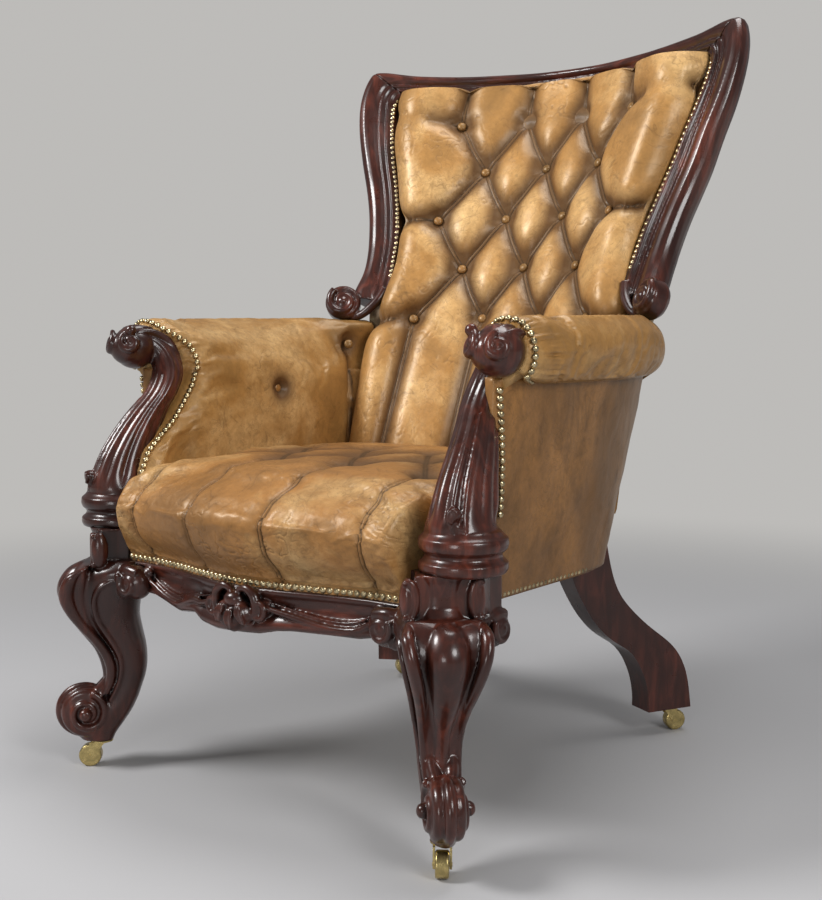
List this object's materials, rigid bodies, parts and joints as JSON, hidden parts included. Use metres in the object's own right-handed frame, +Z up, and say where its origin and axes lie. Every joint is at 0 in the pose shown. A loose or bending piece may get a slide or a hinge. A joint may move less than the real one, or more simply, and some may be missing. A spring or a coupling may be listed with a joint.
{
  "type": "library armchair",
  "caption": "Carved mahogany library armchair with a deep buttoned leather back, padded scroll arms, a sprung tufted seat and brass castors.",
  "frame": {"origin": "centre of the bounding box at floor level, under the seat", "axes": "+X to the sitter's left, +Y to the back of the chair, +Z up"},
  "size_m": [0.732, 0.8802, 1.0828],
  "materials": {
    "mahogany": "dark french polish",
    "beech": "raw sawn",
    "back_leather": "aged tan, waxed",
    "arm_leather": "aged tan, waxed",
    "seat_leather": "worn ochre brown",
    "outside_leather": "mottled brown",
    "horsehair": "loose",
    "webbing": "jute",
    "hessian": "plain weave",
    "nail_brass": "antique",
    "castor_brass": "worn, polished treads",
    "spring_steel": "coppered",
    "screw_steel": "dull"
  },
  "bodies": {
    "root": {"front_leg_left": "mahogany", "front_leg_right": "mahogany", "rear_leg_left": "mahogany", "rear_leg_right": "mahogany", "side_rail_left": "beech", "side_rail_right": "beech", "knee_bracket_left": "mahogany", "knee_bracket_right": "mahogany", "arm_support_left": "mahogany", "arm_support_right": "mahogany", "arm_rail_left": "beech", "arm_rail_right": "beech", "arm_stuffing_left": "horsehair", "arm_stuffing_right": "horsehair", "arm_leather_left": "arm_leather", "arm_leather_right": "arm_leather", "outside_arm_left": "outside_leather", "outside_arm_right": "outside_leather", "back_post_left": "beech", "back_post_right": "beech", "back_stile_left": "mahogany", "back_stile_right": "mahogany", "panel_nails_left": "nail_brass", "panel_nails_right": "nail_brass", "arm_nails_left": "nail_brass", "arm_nails_right": "nail_brass", "stile_nails_left": "nail_brass", "stile_nails_right": "nail_brass", "front_rail": "mahogany", "back_rail": "beech", "crest_rail": "mahogany", "corner_blocks": "beech", "back_leather": "back_leather", "back_stuffing": "horsehair", "back_webbing": "webbing", "outside_back": "outside_leather", "seat_leather": "seat_leather", "seat_stuffing": "horsehair", "seat_webbing": "webbing", "seat_springs": "spring_steel", "seat_hessian": "hessian", "dust_cover": "hessian", "back_buttons": "back_leather", "arm_buttons": "arm_leather", "front_rail_nails": "nail_brass", "castor_plates": "castor_brass", "plate_screws": "screw_steel"},
    "fork_front_left": {"castor_fork_front_left": "castor_brass", "castor_axle_front_left": "castor_brass"},
    "wheel_front_left": {"castor_wheel_front_left": "castor_brass"},
    "fork_front_right": {"castor_fork_front_right": "castor_brass", "castor_axle_front_right": "castor_brass"},
    "wheel_front_right": {"castor_wheel_front_right": "castor_brass"},
    "fork_rear_left": {"castor_fork_rear_left": "castor_brass", "castor_axle_rear_left": "castor_brass"},
    "wheel_rear_left": {"castor_wheel_rear_left": "castor_brass"},
    "fork_rear_right": {"castor_fork_rear_right": "castor_brass", "castor_axle_rear_right": "castor_brass"},
    "wheel_rear_right": {"castor_wheel_rear_right": "castor_brass"}
  },
  "joints": [
    {"name": "swivel_front_left", "type": "hinge", "parent": "root", "child": "fork_front_left", "pos_m": [0.301, -0.37789, 0.036], "axis": [0, 0, 1], "continuous": true},
    {"name": "roll_front_left", "type": "hinge", "parent": "fork_front_left", "child": "wheel_front_left", "pos_m": [0.31051, -0.39198, 0.016], "axis": [-0.829, -0.5593, 0], "continuous": true},
    {"name": "swivel_front_right", "type": "hinge", "parent": "root", "child": "fork_front_right", "pos_m": [-0.301, -0.37789, 0.036], "axis": [0, 0, 1], "continuous": true},
    {"name": "roll_front_right", "type": "hinge", "parent": "fork_front_right", "child": "wheel_front_right", "pos_m": [-0.31376, -0.38912, 0.016], "axis": [-0.6606, 0.7507, 0], "continuous": true},
    {"name": "swivel_rear_left", "type": "hinge", "parent": "root", "child": "fork_rear_left", "pos_m": [0.266, 0.25911, 0.036], "axis": [0, 0, 1], "continuous": true},
    {"name": "roll_rear_left", "type": "hinge", "parent": "fork_rear_left", "child": "wheel_rear_left", "pos_m": [0.27687, 0.27219, 0.016], "axis": [0.769, -0.6392, 0], "continuous": true},
    {"name": "swivel_rear_right", "type": "hinge", "parent": "root", "child": "fork_rear_right", "pos_m": [-0.266, 0.25911, 0.036], "axis": [0, 0, 1], "continuous": true},
    {"name": "roll_rear_right", "type": "hinge", "parent": "fork_rear_right", "child": "wheel_rear_right", "pos_m": [-0.2558, 0.27271, 0.016], "axis": [0.8, -0.6, 0], "continuous": true}
  ]
}
